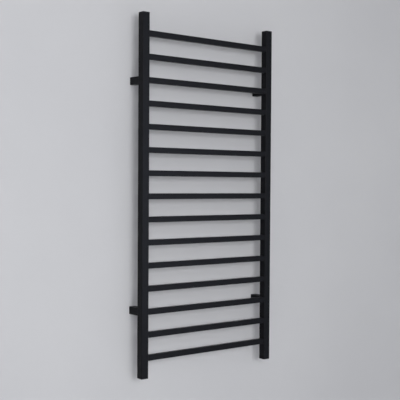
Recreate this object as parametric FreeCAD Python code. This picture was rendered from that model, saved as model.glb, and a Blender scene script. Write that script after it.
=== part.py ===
import FreeCAD, Part
import math
import os

# Wall-mounted ladder towel warmer: two square posts, fifteen flat bars, four stand-offs
# and a dry heating cable threaded through the bars.
# Frame: millimetres, +Z up, +X to the right as seen from the room, +Y into the wall. The wall
# is the plane Y = 0. The origin is the centre of the four wall fixings, level with the middle bar.

# ---------------------------------------------------------------- driving dimensions
rail_height = 1136.0      # with the end caps
wall_distance = 72.0      # wall to the front of the posts
post_spacing = 515.0      # centre to centre
post_size = 25.4          # square tube
post_wall = 1.5
post_corner = 1.5         # outside corner radius

bar_count = 15
bar_pitch = 72.0
bar_height = 18.0
bar_depth = 14.0
bar_wall = 1.2
bar_corner = 1.2
bar_setback = 2.0         # bar front behind post front

cap_plate = 2.0
cap_spigot = 8.0
cap_spigot_wall = 1.6
cap_chamfer = 0.4

standoff_bars = (3, 13)   # counted from the top: the bars whose height the stand-offs share
standoff_size = 24.0
standoff_wall = 2.0
standoff_plate = 3.0      # end plate against the post
standoff_corner = 1.5
wall_gap = 0.5            # sleeve end to wall

block_depth = 16.0
block_play = 0.2          # wall block to sleeve, at the sides and below
fixing_hole_r = 2.75
fixing_head_r = 5.2
fixing_head_depth = 5.0
cable_notch = (8.0, 4.4)  # width and height of the way for the supply cores past the block

grub_r = 2.5
grub_length = 6.0
grub_from_wall = 6.0
grub_play = 0.1
grub_socket = (2.5, 2.5)  # across flats and depth

# Sleeve to post: screw, lock washer and rivet nut, in two sizes.
m6 = {"screw_r": 3.0, "hole_r": 3.3, "head_r": 5.0, "head": 6.0, "length": 14.0,
      "washer_r": 5.9, "washer": 1.6, "body_r": 4.5, "flange_r": 6.0, "flange": 0.8, "bulge_r": 5.5}
m10 = {"screw_r": 5.0, "hole_r": 5.3, "head_r": 7.0, "head": 4.0, "length": 13.0,
       "washer_r": 9.0, "washer": 2.0, "body_r": 6.5, "flange_r": 7.6, "flange": 1.0, "bulge_r": 7.4}
screw_socket = (5.0, 3.0)  # across flats and depth
washer_slit = 1.6
nut_depth = 10.4          # rivet nut, from the post's back face into the post
bulge_length = 2.5
flange_play = 0.2

cable_bore_r = 3.2        # through the hollow screw
grommet_bore_r = 2.4
grommet_lip = (4.6, 1.0)  # radius and thickness

heat_cable_r = 2.0
heat_cable_turn = 18.0    # bend radius inside the posts
cable_rest_gap = 0.05     # cable to the floor of a bar
cable_lead = 1.0          # straight end before a sleeve
end_sleeve_r = 3.0
end_sleeve_length = 20.0
joint_sleeve_r = 3.4
joint_sleeve_length = 24.0

wire_r = 1.1
wire_offset = 1.8         # live and neutral, each side of their common path
tail_run = (254.0, -53.0)  # X and Y of the tails on their way down
tail_lead = 2.0
cutout_r = 2.0
cutout_length = 12.0
cutout_top = -468.0

terminal_size = (21.8, 11.5, 18.0)
terminal_back = -48.5
supply_hole_r = 1.6
supply_hole_depth = 8.0
terminal_pitch = 7.2
terminal_screw_r = 1.5
terminal_screw_length = 4.0
terminal_rows = (10.5, 15.0)  # screw rows below the block's top
supply_hole_inset = 2.4

earth_x = 262.0
earth_z = -525.0
earth_screw_r = 2.0
earth_head = (3.5, 2.4)
earth_length = 8.0
earth_tag_r = 4.0
earth_tag_thick = 0.8
earth_barrel_r = 1.7
earth_barrel = (-536.0, -530.5)
earth_tongue = 3.0
earth_nut_size = (7.0, 3.2)  # across flats and height
slot_width = 0.6          # driver slots
slot_depth = 0.8

# ---------------------------------------------------------------- derived places
post_x = post_spacing / 2
post_front = -wall_distance
post_back = post_front + post_size
bore = post_size - 2 * post_wall
bar_end = post_x - post_size / 2 + post_wall
bar_front = post_front + bar_setback
bar_y = bar_front + bar_depth / 2
top = rail_height / 2
levels = [bar_pitch * ((bar_count + 1) / 2 - number) for number in range(1, bar_count + 1)]
standoff_levels = [levels[number - 1] for number in standoff_bars]
plate_back = post_back + standoff_plate
sleeve_half = standoff_size / 2 - standoff_wall
terminal_top = -top + cap_plate + cap_spigot + terminal_size[2]

X = FreeCAD.Vector(1, 0, 0)
Y = FreeCAD.Vector(0, 1, 0)
Z = FreeCAD.Vector(0, 0, 1)


# ---------------------------------------------------------------- shape helpers
def vector(x, y, z):
    return FreeCAD.Vector(x, y, z)


def block(low, high, along=None, corner=0.0):
    """A box between two corners, its edges along one axis rounded."""
    size = high - low
    shape = Part.makeBox(size.x, size.y, size.z, low)
    if corner > 0:
        edges = [e for e in shape.Edges if abs(e.tangentAt(e.FirstParameter).dot(along)) > 0.99]
        shape = shape.makeFillet(corner, edges)
    return shape


def rectangular_tube(low, high, along, wall, corner):
    """A tube open at both ends along one axis, with the inside corners that its wall leaves."""
    inset = vector(wall, wall, wall) - along * wall
    inner = block(low + inset, high - inset, along, max(corner - wall, 0.0))
    return block(low, high, along, corner).cut(inner)


def rod(radius, start, direction, length):
    return Part.makeCylinder(radius, length, start, direction)


def ring(outer, inner, start, direction, length):
    return rod(outer, start, direction, length).cut(rod(inner, start, direction, length))


def driver_slot(centre, reach):
    """A straight slot across a face that looks along Y, to be cut from a screw."""
    size = vector(reach, slot_depth, slot_width / 2)
    return block(centre - size, centre + size)


def hexagon(across_flats, start, direction, length):
    """A hexagonal prism about an axis."""
    radius = across_flats / math.sqrt(3)
    turn = FreeCAD.Rotation(Z, direction)
    corners = []
    for step in range(7):
        angle = math.radians(60 * step)
        corners.append(start + turn.multVec(vector(radius * math.cos(angle), radius * math.sin(angle), 0)))
    return Part.Face(Part.makePolygon(corners)).extrude(direction * length)


def straight(start, end):
    return Part.LineSegment(start, end).toShape()


def bend(start, centre, end):
    """A quarter or half turn about a centre; a half turn goes over the top."""
    middle = (start + end) * 0.5 - centre
    if middle.Length < 1e-6:
        middle = vector(0, 0, 1)
    middle.normalize()
    return Part.Arc(start, centre + middle * (start - centre).Length, end).toShape()


def cord(edges, radius):
    """A round solid along straight runs joined by tangent arcs."""
    path = Part.Wire(edges)
    first = edges[0]
    start = first.FirstParameter
    circle = Part.makeCircle(radius, first.valueAt(start), first.tangentAt(start))
    return path.makePipeShell([Part.Wire(circle)], True, True)


def save(name, shape):
    if not shape.isValid():
        raise ValueError(name + " is not a valid shape")
    shape.exportStep("parts/" + name + ".step")


def save_group(name, shapes):
    save(name, Part.makeCompound(shapes))


# ---------------------------------------------------------------- frame
def bar_outline(level):
    low = vector(-bar_end, bar_front, level - bar_height / 2)
    high = vector(bar_end, bar_front + bar_depth, level + bar_height / 2)
    return low, high


def bar(level):
    low, high = bar_outline(level)
    return rectangular_tube(low, high, X, bar_wall, bar_corner)


def fastener_at(side, level):
    """The lower right stand-off carries the supply, through a hollow screw."""
    return m10 if side > 0 and level < 0 else m6


def post(side):
    x = side * post_x
    low = vector(x - post_size / 2, post_front, -top + cap_plate)
    high = vector(x + post_size / 2, post_back, top - cap_plate)
    shape = rectangular_tube(low, high, Z, post_wall, post_corner)
    for level in levels:
        low, high = bar_outline(level)
        shape = shape.cut(block(low, high, X, bar_corner))
    for level in standoff_levels:
        hole = rod(fastener_at(side, level)["body_r"], vector(x, post_back, level), -Y, post_wall)
        shape = shape.cut(hole)
    if side > 0:
        shape = shape.cut(rod(earth_screw_r, vector(earth_x, post_back, earth_z), -Y, post_wall))
    return shape


def end_cap(side, end):
    """A flush plate with a hollow spigot pressed into the post; end is +1 at the top and -1 at the bottom."""
    x = side * post_x
    half = post_size / 2
    outer_z = end * top
    seat_z = outer_z - end * cap_plate
    tip_z = seat_z - end * cap_spigot
    middle_y = post_front + half
    low = vector(x - half, post_front, min(outer_z, seat_z))
    high = vector(x + half, post_back, max(outer_z, seat_z))
    plate = block(low, high, Z, post_corner)
    outer_face = [face for face in plate.Faces if face.normalAt(0, 0).z * end > 0.99][0]
    plate = plate.makeChamfer(cap_chamfer, outer_face.Edges)
    inside = bore / 2
    low = vector(x - inside, middle_y - inside, min(seat_z, tip_z))
    high = vector(x + inside, middle_y + inside, max(seat_z, tip_z))
    spigot = rectangular_tube(low, high, Z, cap_spigot_wall, 0.0)
    return plate.fuse(spigot).removeSplitter()


# ---------------------------------------------------------------- wall brackets
def standoff(side, level):
    x = side * post_x
    size = fastener_at(side, level)
    half = standoff_size / 2
    low = vector(x - half, post_back, level - half)
    high = vector(x + half, -wall_gap, level + half)
    shape = block(low, high, Y, standoff_corner)
    low = vector(x - sleeve_half, plate_back, level - sleeve_half)
    high = vector(x + sleeve_half, -wall_gap, level + sleeve_half)
    shape = shape.cut(block(low, high))
    shape = shape.cut(rod(size["hole_r"], vector(x, post_back, level), Y, standoff_plate))
    shape = shape.cut(rod(size["flange_r"] + flange_play, vector(x, post_back, level), Y, size["flange"]))
    tapped = rod(grub_r, vector(x, -grub_from_wall, level - half), Z, standoff_wall)
    return shape.cut(tapped)


def wall_block(side, level):
    """The sleeve hangs on the block's top; the other three sides have play."""
    x = side * post_x
    low = vector(x - sleeve_half + block_play, -block_depth, level - sleeve_half + block_play)
    high = vector(x + sleeve_half - block_play, 0, level + sleeve_half)
    shape = block(low, high)
    shape = shape.cut(rod(fixing_hole_r, vector(x, 0, level), -Y, block_depth))
    shape = shape.cut(rod(fixing_head_r, vector(x, -block_depth, level), Y, fixing_head_depth))
    grub_tip = level - standoff_size / 2 + grub_length
    recess = rod(grub_r + grub_play, vector(x, -grub_from_wall, low.z), Z, grub_tip - low.z)
    shape = shape.cut(recess)
    if fastener_at(side, level) is m10:
        width, height = cable_notch
        notch_low = vector(x - width / 2, -block_depth, high.z - height)
        shape = shape.cut(block(notch_low, notch_low + vector(width, block_depth, height)))
    return shape


def rivet_nut(side, level):
    size = fastener_at(side, level)
    start = vector(side * post_x, post_back, level)
    body = rod(size["body_r"], start, -Y, nut_depth)
    flange = rod(size["flange_r"], start, Y, size["flange"])
    bulge = rod(size["bulge_r"], start - Y * post_wall, -Y, bulge_length)
    shape = body.fuse([flange, bulge]).removeSplitter()
    length = nut_depth + size["flange"]
    return shape.cut(rod(size["screw_r"], start + Y * size["flange"], -Y, length))


def lock_washer(side, level):
    size = fastener_at(side, level)
    start = vector(side * post_x, plate_back, level)
    shape = ring(size["washer_r"], size["hole_r"], start, Y, size["washer"])
    slit_low = start - vector(washer_slit / 2, 0, 0)
    return shape.cut(block(slit_low, slit_low + vector(washer_slit, size["washer"], size["washer_r"])))


def bracket_screw(side, level):
    """Socket cap screw, its head towards the wall."""
    size = fastener_at(side, level)
    under_head = vector(side * post_x, plate_back + size["washer"], level)
    shape = rod(size["head_r"], under_head, Y, size["head"])
    shape = shape.fuse(rod(size["screw_r"], under_head, -Y, size["length"]))
    across_flats, depth = screw_socket
    return shape.cut(hexagon(across_flats, under_head + Y * size["head"], -Y, depth)).removeSplitter()


def cable_screw(side, level):
    """Hexagon-headed hollow screw that lets the supply cores into the post."""
    under_head = vector(side * post_x, plate_back + m10["washer"], level)
    head = hexagon(2 * m10["head_r"], under_head, Y, m10["head"])
    shape = head.fuse(rod(m10["screw_r"], under_head, -Y, m10["length"]))
    length = m10["head"] + m10["length"]
    return shape.cut(rod(cable_bore_r, under_head + Y * m10["head"], -Y, length)).removeSplitter()


def cable_grommet(side, level):
    """Silicone bush through the hollow screw, with a lip on the head."""
    start = vector(side * post_x, plate_back + m10["washer"] + m10["head"], level)
    length = m10["head"] + m10["length"]
    lip_r, lip = grommet_lip
    shape = rod(cable_bore_r, start, -Y, length).fuse(rod(lip_r, start, Y, lip))
    return shape.cut(rod(grommet_bore_r, start + Y * lip, -Y, length + lip)).removeSplitter()


def grub_screw(side, level):
    start = vector(side * post_x, -grub_from_wall, level - standoff_size / 2)
    across_flats, depth = grub_socket
    return rod(grub_r, start, Z, grub_length).cut(hexagon(across_flats, start, Z, depth))


# ---------------------------------------------------------------- heating
def heating_cable():
    """Up through every bar in turn, from the bottom bar's right end to the top bar's left end."""
    turn_x = bar_end + heat_cable_turn
    drop = bar_height / 2 - bar_wall - heat_cable_r - cable_rest_gap
    heights = [level - drop for level in reversed(levels)]
    rise = Z * heat_cable_turn

    def at(x, z):
        return vector(x, bar_y, z)

    side = 1
    first = heights[0]
    start = at(turn_x, first + heat_cable_turn + cable_lead)
    edges = [straight(start, at(turn_x, first + heat_cable_turn))]
    edges.append(bend(at(turn_x, first + heat_cable_turn), at(bar_end, first) + rise, at(bar_end, first)))
    for number, height in enumerate(heights):
        edges.append(straight(at(side * bar_end, height), at(-side * bar_end, height)))
        side = -side
        bar_exit = at(side * bar_end, height)
        outside = at(side * turn_x, height + heat_cable_turn)
        edges.append(bend(bar_exit, bar_exit + rise, outside))
        if number == len(heights) - 1:
            edges.append(straight(outside, outside + Z * cable_lead))
        else:
            entry = at(side * bar_end, heights[number + 1])
            below_entry = at(side * turn_x, heights[number + 1] - heat_cable_turn)
            edges.append(straight(outside, below_entry))
            edges.append(bend(below_entry, entry - rise, entry))
    shape = cord(edges, heat_cable_r)
    length = sum(edge.Length for edge in edges)
    ratio = shape.Volume / (math.pi * heat_cable_r ** 2 * length)
    print("heating cable: %.0f mm, bends of %.0f mm, volume ratio %.4f" % (length, heat_cable_turn, ratio))
    ends = (start, edges[-1].valueAt(edges[-1].LastParameter))
    return shape, ends


def tail_paths(joint_top):
    """Up out of the joint, over a half turn and down to the terminals, live and neutral side by side."""
    down = vector(tail_run[0], tail_run[1], 0)
    up = vector(joint_top.x, joint_top.y, 0)
    across = down - up
    beside = vector(-across.y, across.x, 0)
    beside.normalize()
    turn_z = Z * (joint_top.z + tail_lead)
    paths = []
    for sign in (1, -1):
        offset = beside * (sign * wire_offset)
        rising = up + offset
        falling = down + offset
        paths.append((rising, falling, turn_z))
    return paths


def tail(path, bottom_z):
    rising, falling, turn_z = path
    start = rising + turn_z - Z * tail_lead
    over = bend(rising + turn_z, (rising + falling) * 0.5 + turn_z, falling + turn_z)
    edges = [straight(start, rising + turn_z), over, straight(falling + turn_z, falling + Z * bottom_z)]
    return cord(edges, wire_r)


def terminal_block():
    width, depth, height = terminal_size
    low = vector(post_x - width / 2, terminal_back - depth, terminal_top - height)
    shape = block(low, low + vector(width, depth, height))
    for x, y in supply_holes():
        shape = shape.cut(rod(supply_hole_r, vector(x, y, terminal_top), -Z, supply_hole_depth))
    for seat in terminal_screw_seats():
        shape = shape.cut(rod(terminal_screw_r, seat, Y, terminal_screw_length))
    return shape


def supply_holes():
    y = terminal_back - terminal_size[1] + supply_hole_inset
    return [(post_x + terminal_pitch * step, y) for step in (-1, 0, 1)]


def terminal_screw_seats():
    face_y = terminal_back - terminal_size[1]
    columns = [post_x + terminal_pitch * step for step in (-1, 0, 1)]
    return [vector(x, face_y, terminal_top - row) for x in columns for row in terminal_rows]


def terminal_screw(seat):
    return rod(terminal_screw_r, seat, Y, terminal_screw_length).cut(driver_slot(seat, 2 * terminal_screw_r))


def earth_screw():
    seat = vector(earth_x, post_back, earth_z)
    head_r, head = earth_head
    shape = rod(head_r, seat, Y, head).fuse(rod(earth_screw_r, seat, -Y, earth_length)).removeSplitter()
    return shape.cut(driver_slot(seat + Y * head, 2 * head_r))


def earth_tag():
    """Ring under the nut, with a tongue and a crimped barrel below."""
    face = vector(earth_x, post_back - post_wall, earth_z)
    low_z, high_z = earth_barrel
    tongue_low = vector(earth_x - earth_tongue / 2, face.y - earth_tag_thick, low_z)
    tongue = block(tongue_low, tongue_low + vector(earth_tongue, earth_tag_thick, earth_z - low_z))
    barrel = rod(earth_barrel_r, vector(earth_x, face.y - earth_barrel_r, low_z), Z, high_z - low_z)
    shape = rod(earth_tag_r, face, -Y, earth_tag_thick).fuse([tongue, barrel]).removeSplitter()
    return shape.cut(rod(earth_screw_r, face, -Y, earth_tag_thick))


def earth_nut():
    seat = vector(earth_x, post_back - post_wall - earth_tag_thick, earth_z)
    across_flats, length = earth_nut_size
    return hexagon(across_flats, seat, -Y, length).cut(rod(earth_screw_r, seat, -Y, length))


def earth_wire():
    low_z = earth_barrel[0]
    start = vector(earth_x, post_back - post_wall - earth_barrel_r, low_z)
    return rod(wire_r, start, -Z, low_z - terminal_top)


# ---------------------------------------------------------------- build and export
def build_frame():
    for name, side in (("left", -1), ("right", 1)):
        save("post_" + name, post(side))
        save("cap_top_" + name, end_cap(side, 1))
        save("cap_bottom_" + name, end_cap(side, -1))
    for number, level in enumerate(levels, start=1):
        save("bar_%02d" % number, bar(level))


def build_brackets():
    corners = [(side, level) for level in standoff_levels for side in (-1, 1)]
    for side, level in corners:
        where = ("upper" if level > 0 else "lower") + "_" + ("left" if side < 0 else "right")
        save("standoff_" + where, standoff(side, level))
        save("wall_block_" + where, wall_block(side, level))
    plain = [corner for corner in corners if fastener_at(*corner) is m6]
    supply = [corner for corner in corners if fastener_at(*corner) is m10][0]
    save_group("bracket_screws", [bracket_screw(*corner) for corner in plain])
    save_group("lock_washers", [lock_washer(*corner) for corner in corners])
    save_group("rivet_nuts", [rivet_nut(*corner) for corner in plain])
    save_group("grub_screws", [grub_screw(*corner) for corner in corners])
    save("cable_nut", rivet_nut(*supply))
    save("cable_screw", cable_screw(*supply))
    save("cable_grommet", cable_grommet(*supply))


def build_heating():
    cable, (joint_end, far_end) = heating_cable()
    save("heating_cable", cable)
    save("end_sleeve", rod(end_sleeve_r, far_end, Z, end_sleeve_length))
    save("joint_sleeve", rod(joint_sleeve_r, joint_end, Z, joint_sleeve_length))
    live, neutral = tail_paths(joint_end + Z * joint_sleeve_length)
    save("neutral_tail", tail(neutral, terminal_top))
    cutout_bottom = cutout_top - cutout_length
    falling = live[1]
    below_cutout = rod(wire_r, falling + Z * cutout_bottom, -Z, cutout_bottom - terminal_top)
    save_group("live_tail", [tail(live, cutout_top), below_cutout])
    save("thermal_cutout", rod(cutout_r, falling + Z * cutout_bottom, Z, cutout_length))
    save("terminal_block", terminal_block())
    save_group("terminal_screws", [terminal_screw(seat) for seat in terminal_screw_seats()])
    save("earth_screw", earth_screw())
    save("earth_tag", earth_tag())
    save("earth_nut", earth_nut())
    save("earth_wire", earth_wire())


os.makedirs("parts", exist_ok=True)
build_frame()
build_brackets()
build_heating()
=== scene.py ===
"""Looks of the wall-mounted ladder towel warmer (the rail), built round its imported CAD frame.

Lengths are metres in the CAD frame: +X is right and +Z up as seen from the room, +Y goes into the wall, and
the wall's face is at Y = 0.
"""

import math

import bmesh
import bpy
from mathutils import Matrix, Vector


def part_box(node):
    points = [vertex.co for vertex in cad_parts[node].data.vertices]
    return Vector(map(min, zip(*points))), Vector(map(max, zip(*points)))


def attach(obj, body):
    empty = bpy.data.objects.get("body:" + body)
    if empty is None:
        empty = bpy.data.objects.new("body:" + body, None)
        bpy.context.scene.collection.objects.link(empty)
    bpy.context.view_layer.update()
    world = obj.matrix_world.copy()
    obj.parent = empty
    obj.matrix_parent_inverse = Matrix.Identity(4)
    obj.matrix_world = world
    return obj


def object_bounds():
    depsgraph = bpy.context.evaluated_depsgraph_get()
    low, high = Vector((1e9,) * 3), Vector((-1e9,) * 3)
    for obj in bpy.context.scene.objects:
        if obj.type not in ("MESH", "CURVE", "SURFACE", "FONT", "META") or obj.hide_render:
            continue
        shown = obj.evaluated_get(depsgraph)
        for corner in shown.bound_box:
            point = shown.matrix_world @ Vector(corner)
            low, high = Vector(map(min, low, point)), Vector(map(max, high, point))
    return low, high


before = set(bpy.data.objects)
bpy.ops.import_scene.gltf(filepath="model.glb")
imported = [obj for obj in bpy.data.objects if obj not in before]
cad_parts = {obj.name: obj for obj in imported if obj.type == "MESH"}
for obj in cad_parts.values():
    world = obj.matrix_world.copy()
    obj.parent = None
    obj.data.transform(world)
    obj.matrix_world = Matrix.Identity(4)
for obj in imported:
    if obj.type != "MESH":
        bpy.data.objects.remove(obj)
cad_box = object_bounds()

MM = 0.001
BODY = "root"
BAR_NAMES = sorted(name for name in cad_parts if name.startswith("bar_"))
STANDOFF_NAMES = sorted(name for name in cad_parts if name.startswith("standoff_"))
POST_NAMES = ("post_left", "post_right")

# Viewpoint: the point of the rail's front plane on the optical axis, and the camera's place round it.
AIM_ACROSS = -0.0431
AIM_HEIGHT = -0.0374
CAMERA_DISTANCE = 2.786
CAMERA_LEFT_DEG = 38.564
CAMERA_ABOVE_DEG = 1.513
CAMERA_ROLL_DEG = 0.346
SENSOR_MM = 36.0
LENS_MM = 77.27
LENS_SHIFT_UP = 0.0192

# Light: a low window band from the left, a softer panel above it, the ceiling and a weak even room light.
# A panel is its direction from the rail (degrees left, degrees up), its angular width and height, and its
# watts. It stands PANEL_DISTANCE from the rail's centre.
PANEL_DISTANCE = 4.2
PANELS = {
    "window_band": (22.5, 5.5, 39.0, 18.0, 97.0),
    "upper_bounce": (6.0, 21.0, 40.0, 24.0, 12.0),
}
CEILING_PLACE = Vector((0.0, -4.0, 3.2))
CEILING_SIZE = (32.0, 32.0)
CEILING_WATTS = 930.0
ROOM_COLOUR = (0.86, 0.92, 1.0)
ROOM_STRENGTH = 0.03

# A reflection card to the right, placed like a panel. The fronts of the rail show it, the left post the most.
CARD = (-23.0, 1.0, 25.0, 32.0, 76.0)
CARD_COLOUR = (0.80, 0.85, 1.0)

# A small light behind the wall, which shows the wall blocks through the wall's cut-outs.
REAR_PLACE = Vector((0.0, 0.9, 0.1))
REAR_SIZE = (0.9, 1.3)
REAR_WATTS = 6.0

# Room: the wall that carries the rail, the floor below it, and what the camera sees past their edges.
# The wall has a cut-out behind each stand-off, smaller than the stand-off by CUT_INSET all round.
WALL_CLEARANCE = 0.3 * MM
WALL_HALF_WIDTH = 1.6
WALL_TOP = 1.5
CUT_INSET = 2.6 * MM
FLOOR_DROP = 0.75
FLOOR_HALF_WIDTH = 14.0
BEYOND_COLOUR = (0.50, 0.51, 0.53)

# Weld fillets between each bar and the two posts. A fillet reaches BEAD_LEG from the corner, less on the
# bar's front, and sinks a little into both. Its legs swell and shrink by BEAD_RIPPLE, in two waves round the
# bar: each wave is its share, its count, and how much of the bar end's own phase shifts it.
BEAD_LEG = 1.3 * MM
BEAD_FRONT_LEG = 0.5 * MM
BEAD_SINK = 0.15 * MM
BEAD_RIPPLE = 0.09
BEAD_WAVES = ((0.6, 7.0, 1.0), (0.4, 13.0, 2.3))
PHASE_PER_BAR = 1.7
RIGHT_POST_PHASE = 0.9
BAR_CORNER = 1.2 * MM


def place_object(name, data):
    """A new object in the scene."""
    made = bpy.data.objects.new(name, data)
    bpy.context.scene.collection.objects.link(made)
    return made


def choose_shader(tree, switch, shader_off, shader_on, target):
    """Sends shader_off to the target socket where the switch is 0, and shader_on where it is 1."""
    mix = tree.nodes.new("ShaderNodeMixShader")
    tree.links.new(switch, mix.inputs["Fac"])
    tree.links.new(shader_off, mix.inputs[1])
    tree.links.new(shader_on, mix.inputs[2])
    tree.links.new(mix.outputs["Shader"], target)


# ---------------------------------------------------------------------------------------------- materials
class Surface:
    """A Principled material whose procedural nodes are added one call at a time."""

    def __init__(self, name, colour, roughness, metallic=0.0):
        self.material = bpy.data.materials.new(name)
        self.material.use_nodes = True
        self.tree = self.material.node_tree
        self.shader = self.tree.nodes["Principled BSDF"]
        self.place = self.add("ShaderNodeTexCoord").outputs["Object"]
        self.set("Base Color", (*colour, 1.0))
        self.set("Roughness", roughness)
        self.set("Metallic", metallic)

    def add(self, kind, **settings):
        node = self.tree.nodes.new(kind)
        for name, value in settings.items():
            setattr(node, name, value)
        return node

    def set(self, socket, value):
        self.shader.inputs[socket].default_value = value

    def link(self, output, socket):
        self.tree.links.new(output, socket)

    def stretched(self, x, y, z):
        """Texture coordinates scaled apart along the three axes."""
        mapping = self.add("ShaderNodeMapping")
        mapping.inputs["Scale"].default_value = (x, y, z)
        self.link(self.place, mapping.inputs["Vector"])
        return mapping.outputs["Vector"]

    def noise(self, per_metre, detail=2.0, roughness=0.5, place=None):
        node = self.add("ShaderNodeTexNoise")
        node.inputs["Scale"].default_value = per_metre
        node.inputs["Detail"].default_value = detail
        node.inputs["Roughness"].default_value = roughness
        self.link(place or self.place, node.inputs["Vector"])
        return node.outputs["Fac"]

    def cells(self, per_metre):
        node = self.add("ShaderNodeTexVoronoi", feature="SMOOTH_F1")
        node.inputs["Scale"].default_value = per_metre
        node.inputs["Smoothness"].default_value = 0.6
        self.link(self.place, node.inputs["Vector"])
        return node.outputs["Distance"]

    def spread(self, value, low, high, start=0.3, end=0.7):
        """Remaps a texture value from start..end to low..high."""
        node = self.add("ShaderNodeMapRange")
        node.inputs["From Min"].default_value = start
        node.inputs["From Max"].default_value = end
        node.inputs["To Min"].default_value = low
        node.inputs["To Max"].default_value = high
        self.link(value, node.inputs["Value"])
        return node.outputs["Result"]

    def colour_between(self, value, low, high, start=0.3, end=0.7):
        ramp = self.add("ShaderNodeValToRGB")
        first, last = ramp.color_ramp.elements
        first.position = start
        last.position = end
        first.color = (*low, 1.0)
        last.color = (*high, 1.0)
        self.link(value, ramp.inputs["Fac"])
        self.link(ramp.outputs["Color"], self.shader.inputs["Base Color"])

    def roughness_between(self, value, low, high):
        self.link(self.spread(value, low, high), self.shader.inputs["Roughness"])

    def relief(self, *layers):
        """Stacks bump layers, each a (texture value, depth in metres) pair, coarse first."""
        normal = None
        for height, depth in layers:
            bump = self.add("ShaderNodeBump")
            bump.inputs["Strength"].default_value = 1.0
            bump.inputs["Distance"].default_value = depth
            self.link(height, bump.inputs["Height"])
            if normal:
                self.link(normal, bump.inputs["Normal"])
            normal = bump.outputs["Normal"]
        self.link(normal, self.shader.inputs["Normal"])


def powder_coat(name):
    """Matt black powder coat: soft orange peel under a very fine grain, a little uneven in gloss."""
    s = Surface(name, (0.0052, 0.0056, 0.0074), 0.42)
    s.set("Specular IOR Level", 0.09)
    s.colour_between(s.noise(55, detail=3), (0.0045, 0.0048, 0.0064), (0.0060, 0.0064, 0.0084))
    s.roughness_between(s.noise(140, detail=3), 0.38, 0.46)
    peel = s.noise(430, detail=1.0)
    grain = s.noise(2400, detail=2.0, roughness=0.6)
    s.relief((peel, 0.08 * MM), (grain, 0.03 * MM))
    return s.material


def moulded_plastic(name, low, high, gloss=0.5, texture=0.02 * MM):
    """Moulded plastic: faint flow mottling and a spark-eroded skin."""
    s = Surface(name, low, gloss)
    s.colour_between(s.noise(90, detail=2), low, high)
    s.roughness_between(s.noise(210), gloss - 0.05, gloss + 0.06)
    s.relief((s.noise(1700, detail=3.0, roughness=0.7), texture))
    return s.material


def die_cast(name):
    """Tumbled die-cast zinc: dull grey, softly pebbled, with darker cold-flow patches."""
    s = Surface(name, (0.50, 0.51, 0.53), 0.45, metallic=1.0)
    s.colour_between(s.noise(150, detail=4), (0.42, 0.43, 0.45), (0.58, 0.59, 0.61))
    s.roughness_between(s.noise(320, detail=3), 0.36, 0.56)
    s.relief((s.cells(700), 0.05 * MM), (s.noise(2600, detail=3.0), 0.012 * MM))
    return s.material


def zinc_plate(name):
    """Bright zinc plate on steel: faint bluish clouds and fine turned lines."""
    s = Surface(name, (0.56, 0.57, 0.58), 0.28, metallic=1.0)
    s.colour_between(s.noise(260, detail=2), (0.52, 0.54, 0.57), (0.62, 0.62, 0.61))
    s.roughness_between(s.noise(500, detail=2), 0.22, 0.36)
    lines = s.noise(1.0, detail=2.0, place=s.stretched(900, 5200, 900))
    s.relief((lines, 0.008 * MM))
    return s.material


def black_oxide(name):
    """Blackened steel: dark brownish black that thins to bare metal in specks."""
    s = Surface(name, (0.03, 0.03, 0.032), 0.38, metallic=0.85)
    s.colour_between(s.noise(900, detail=4), (0.022, 0.021, 0.022), (0.06, 0.058, 0.056), 0.35, 0.8)
    s.roughness_between(s.noise(700), 0.3, 0.46)
    s.relief((s.noise(3000, detail=2.0), 0.01 * MM))
    return s.material


def silicone(name, low, high):
    """Extruded silicone: satin, slightly dusty, with fine lengthwise die lines."""
    s = Surface(name, low, 0.55)
    s.colour_between(s.noise(120, detail=3), low, high)
    s.roughness_between(s.noise(400, detail=2), 0.48, 0.62)
    s.relief((s.noise(1300, detail=2.0), 0.015 * MM))
    return s.material


def wire_skin(name, colour):
    """Smooth extruded insulation with slight cloudiness."""
    s = Surface(name, colour, 0.36)
    lighter = tuple(min(1.0, 1.16 * channel + 0.004) for channel in colour)
    s.colour_between(s.noise(240, detail=2), colour, lighter)
    s.roughness_between(s.noise(600), 0.31, 0.42)
    s.relief((s.noise(1500), 0.006 * MM))
    return s.material


def satin_metal(name, low, high, gloss):
    """Pressed sheet or turned metal with a light satin brush."""
    s = Surface(name, low, gloss, metallic=1.0)
    s.colour_between(s.noise(300, detail=3), low, high)
    s.roughness_between(s.noise(650, detail=2), gloss - 0.06, gloss + 0.08)
    brushed = s.noise(1.0, detail=3.0, place=s.stretched(4200, 500, 500))
    s.relief((brushed, 0.008 * MM))
    return s.material


def painted_wall(name):
    """Pale cool grey emulsion with roller stipple. It is one-sided: clear where it is seen from behind."""
    s = Surface(name, (0.60, 0.605, 0.63), 0.8)
    s.set("Specular IOR Level", 0.25)
    s.colour_between(s.noise(1.7, detail=3), (0.585, 0.59, 0.617), (0.612, 0.617, 0.642))
    s.relief((s.noise(38, detail=2.0), 0.25 * MM), (s.noise(420, detail=3.0), 0.06 * MM))
    behind = s.add("ShaderNodeNewGeometry").outputs["Backfacing"]
    clear = s.add("ShaderNodeBsdfTransparent").outputs["BSDF"]
    surface = s.tree.nodes["Material Output"].inputs["Surface"]
    choose_shader(s.tree, behind, s.shader.outputs["BSDF"], clear, surface)
    return s.material


def pale_floor(name):
    """Pale poured floor, dull and almost even."""
    s = Surface(name, (0.84, 0.84, 0.845), 0.8)
    s.set("Specular IOR Level", 0.0)
    s.colour_between(s.noise(2.2, detail=4), (0.82, 0.82, 0.825), (0.86, 0.86, 0.865))
    s.relief((s.noise(60, detail=3.0), 0.1 * MM))
    return s.material


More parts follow.
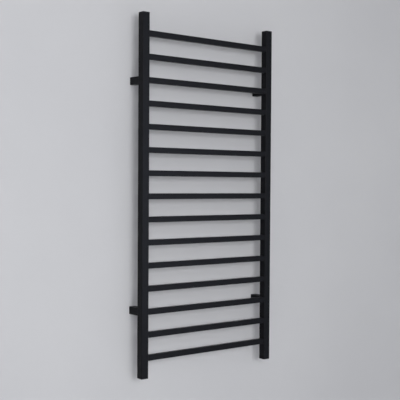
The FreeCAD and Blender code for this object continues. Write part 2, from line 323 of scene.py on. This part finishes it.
def finishes():
    """One material for each of the record's material slots."""
    return {
        "frame_black": powder_coat("frame_black_coat"),
        "cap_black": moulded_plastic(
            "cap_black_moulded", (0.0135, 0.0139, 0.0163), (0.0165, 0.0169, 0.0197)
        ),
        "block_zinc": die_cast("block_zinc_cast"),
        "zinc_steel": zinc_plate("zinc_steel_plate"),
        "black_steel": black_oxide("black_steel_oxide"),
        "cable_silicone": silicone("cable_silicone_red", (0.56, 0.14, 0.065), (0.66, 0.19, 0.095)),
        "sleeve_silicone": silicone("sleeve_silicone_black", (0.042, 0.042, 0.043), (0.058, 0.058, 0.058)),
        "wire_brown": wire_skin("wire_brown_skin", (0.16, 0.07, 0.03)),
        "wire_blue": wire_skin("wire_blue_skin", (0.03, 0.12, 0.42)),
        "wire_green": wire_skin("wire_green_skin", (0.05, 0.32, 0.07)),
        "cutout_case": satin_metal("cutout_case_satin", (0.66, 0.66, 0.67), (0.74, 0.74, 0.75), 0.3),
        "terminal_white": moulded_plastic(
            "terminal_white_moulded", (0.78, 0.76, 0.70), (0.83, 0.81, 0.75), 0.4
        ),
        "brass": satin_metal("brass_turned", (0.68, 0.49, 0.22), (0.76, 0.57, 0.29), 0.27),
    }


def dress_nodes(materials):
    """Gives each CAD node its finish. An imported slot's material carries the record's slot name."""
    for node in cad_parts.values():
        for slot in node.material_slots:
            slot.material = materials[slot.material.name]


# ------------------------------------------------------------------------------------------ weld fillets
def bar_outline(low, high):
    """Stations round a bar's section: (y, z) on its skin and the outward normal, corners as arcs."""
    corner_steps = 5
    side_steps = 6
    centres = (
        (high.y - BAR_CORNER, high.z - BAR_CORNER, 0.0),
        (low.y + BAR_CORNER, high.z - BAR_CORNER, 90.0),
        (low.y + BAR_CORNER, low.z + BAR_CORNER, 180.0),
        (high.y - BAR_CORNER, low.z + BAR_CORNER, 270.0),
    )
    stations = []
    for index, (y, z, start) in enumerate(centres):
        for step in range(corner_steps + 1):
            angle = math.radians(start + 90.0 * step / corner_steps)
            normal = Vector((0.0, math.cos(angle), math.sin(angle)))
            stations.append((Vector((0.0, y, z)) + BAR_CORNER * normal, normal))
        next_y, next_z, _ = centres[(index + 1) % len(centres)]
        here, normal = stations[-1]
        run = Vector((0.0, next_y - y, next_z - z))
        for step in range(1, side_steps):
            stations.append((here + run * (step / side_steps), normal))
    return stations


def bead_section(point, normal, face_x, outward, ripple):
    """One slice of a fillet: a hollow curve from the bar's skin to the post's face, closed inside both."""
    arc_steps = 4
    forward_share = max(0.0, -normal.y)
    leg = (BEAD_LEG + (BEAD_FRONT_LEG - BEAD_LEG) * forward_share) * ripple
    along = BEAD_LEG * ripple
    inside_post = Vector((face_x - outward * BEAD_SINK, 0.0, 0.0))
    slice_points = []
    for step in range(arc_steps + 1):
        angle = math.radians(90.0 * step / arc_steps)
        out = leg * (1.0 - math.cos(angle))
        off = along * (1.0 - math.sin(angle))
        slice_points.append(point + normal * out + Vector((face_x + outward * off, 0.0, 0.0)))
    slice_points.append(point + normal * leg + inside_post)
    slice_points.append(point - normal * BEAD_SINK + inside_post)
    slice_points.append(point - normal * BEAD_SINK + Vector((face_x + outward * along, 0.0, 0.0)))
    return slice_points


def add_bead(mesh, bar, face_x, outward, phase):
    """Sweeps the fillet section round one bar end. The legs swell and shrink as a hand-laid bead's do."""
    stations = bar_outline(*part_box(bar))
    rings = []
    for index, (point, normal) in enumerate(stations):
        turn = 2.0 * math.pi * index / len(stations)
        wave = sum(share * math.sin(count * turn + shift * phase) for share, count, shift in BEAD_WAVES)
        ring = bead_section(point, normal, face_x, outward, 1.0 + BEAD_RIPPLE * wave)
        rings.append([mesh.verts.new(place) for place in ring])
    for ring, following in zip(rings, rings[1:] + rings[:1]):
        for k in range(len(ring)):
            after = (k + 1) % len(ring)
            mesh.faces.new((ring[k], following[k], following[after], ring[after]))


def weld_beads(post, material):
    """The fifteen fillets where the bars meet one post, as one piece."""
    low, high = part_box(post)
    left = high.x < 0.0
    face_x, outward, phase = (high.x, 1.0, 0.0) if left else (low.x, -1.0, RIGHT_POST_PHASE)
    mesh = bmesh.new()
    for index, bar in enumerate(BAR_NAMES):
        add_bead(mesh, bar, face_x, outward, PHASE_PER_BAR * index + phase)
    bmesh.ops.recalc_face_normals(mesh, faces=mesh.faces)
    for face in mesh.faces:
        face.smooth = True
    name = f"weld_beads_{post.removeprefix('post_')}"
    data = bpy.data.meshes.new(name)
    mesh.to_mesh(data)
    mesh.free()
    data.materials.append(material)
    beads = place_object(name, data)
    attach(beads, BODY)


# ------------------------------------------------------------------------------------- room, light, camera
def backdrop(name, corners, faces, material):
    """A flat backdrop mesh whose front turns toward the side its corners run anticlockwise."""
    data = bpy.data.meshes.new(name)
    data.from_pydata(corners, [], faces)
    data.materials.append(material)
    surface = place_object(name, data)


def build_wall(floor_z):
    """The wall, with its cut-outs, so that the wall blocks and their screw holes show from behind.

    It is a grid, left open where an odd row and an odd column cross: those cells lie behind the stand-offs.
    """
    y = cad_box[1].y + WALL_CLEARANCE
    boxes = [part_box(name) for name in STANDOFF_NAMES]
    cuts_x = [side for low, high in boxes for side in (low.x + CUT_INSET, high.x - CUT_INSET)]
    cuts_z = [side for low, high in boxes for side in (low.z + CUT_INSET, high.z - CUT_INSET)]
    columns = sorted({round(x, 6) for x in (-WALL_HALF_WIDTH, WALL_HALF_WIDTH, *cuts_x)})
    rows = sorted({round(z, 6) for z in (floor_z, WALL_TOP, *cuts_z)})
    corners = [(x, y, z) for z in rows for x in columns]
    across = len(columns)
    faces = []
    for row in range(len(rows) - 1):
        for column in range(across - 1):
            cut_out = row % 2 and column % 2
            if not cut_out:
                start = row * across + column
                faces.append((start, start + 1, start + across + 1, start + across))
    backdrop("backdrop_wall", corners, faces, painted_wall("wall_emulsion"))


def build_room():
    """The wall and a square floor."""
    floor_z = cad_box[0].z - FLOOR_DROP
    build_wall(floor_z)
    far = FLOOR_HALF_WIDTH
    corners = [(-far, -far, floor_z), (far, -far, floor_z), (far, far, floor_z), (-far, far, floor_z)]
    backdrop("backdrop_floor", corners, [(0, 1, 2, 3)], pale_floor("floor_pale"))


def facing(azimuth_left, above):
    """Unit vector from the rail toward the room, turned left and up by these angles in degrees."""
    a, e = math.radians(azimuth_left), math.radians(above)
    return Vector((-math.sin(a) * math.cos(e), -math.cos(a) * math.cos(e), math.sin(e)))


def add_area(name, size, place, facing_away, watts):
    """A soft rectangular light, hidden from the camera. Its back turns along facing_away."""
    data = bpy.data.lights.new(name, "AREA")
    data.shape = "RECTANGLE"
    data.size, data.size_y = size
    data.energy = watts
    light = place_object(name, data)
    light.location = place
    light.rotation_mode = "QUATERNION"
    light.rotation_quaternion = facing_away.to_track_quat("Z", "Y")
    light.visible_camera = False
    return light


def add_panel(name, left, above, wide, tall, watts):
    """A panel that faces the rail and fills the given angles as seen from it."""
    size = [2.0 * PANEL_DISTANCE * math.tan(math.radians(angle / 2.0)) for angle in (wide, tall)]
    toward_room = facing(left, above)
    return add_area(name, size, toward_room * PANEL_DISTANCE, toward_room, watts)


def add_card():
    """The reflection card. It is seen in glossy surfaces and lights nothing else."""
    card = add_panel("reflection_card", *CARD)
    card.data.color = CARD_COLOUR
    card.visible_diffuse = False


def build_world():
    """Weak even light. To the camera itself, the world is the pale grey beyond the wall and floor."""
    world = bpy.data.worlds.new("room")
    world.use_nodes = True
    tree = world.node_tree
    lighting = tree.nodes["Background"]
    lighting.inputs["Color"].default_value = (*ROOM_COLOUR, 1.0)
    lighting.inputs["Strength"].default_value = ROOM_STRENGTH
    beyond = tree.nodes.new("ShaderNodeBackground")
    beyond.inputs["Color"].default_value = (*BEYOND_COLOUR, 1.0)
    seen = tree.nodes.new("ShaderNodeLightPath").outputs["Is Camera Ray"]
    surface = tree.nodes["World Output"].inputs["Surface"]
    choose_shader(tree, seen, lighting.outputs["Background"], beyond.outputs["Background"], surface)
    bpy.context.scene.world = world


def build_light():
    """The panels, the card, the ceiling, the small light behind the wall, and the world."""
    for name, setting in PANELS.items():
        add_panel(name, *setting)
    add_card()
    add_area("ceiling_bounce", CEILING_SIZE, CEILING_PLACE, Vector((0.0, 0.0, 1.0)), CEILING_WATTS)
    add_area("rear_fill", REAR_SIZE, REAR_PLACE, Vector((0.0, 1.0, 0.0)), REAR_WATTS)
    build_world()


def build_camera():
    """The camera, aimed and rolled as the constants above say."""
    back = facing(CAMERA_LEFT_DEG, CAMERA_ABOVE_DEG)
    level_right = Vector((0.0, 0.0, 1.0)).cross(back).normalized()
    level_up = back.cross(level_right)
    roll = math.radians(CAMERA_ROLL_DEG)
    right = level_right * math.cos(roll) + level_up * math.sin(roll)
    up = back.cross(right)
    aim = Vector((AIM_ACROSS, cad_box[0].y, AIM_HEIGHT))
    data = bpy.data.cameras.new("view")
    data.sensor_width = SENSOR_MM
    data.lens = LENS_MM
    data.shift_y = LENS_SHIFT_UP
    camera = place_object("view", data)
    turn = Matrix((right, up, back)).transposed().to_4x4()
    camera.matrix_world = Matrix.Translation(aim + back * CAMERA_DISTANCE) @ turn
    bpy.context.scene.camera = camera


materials = finishes()
dress_nodes(materials)
for post_name in POST_NAMES:
    weld_beads(post_name, materials["frame_black"])
build_room()
build_light()
build_camera()
bpy.context.scene.view_settings.view_transform = "Standard"
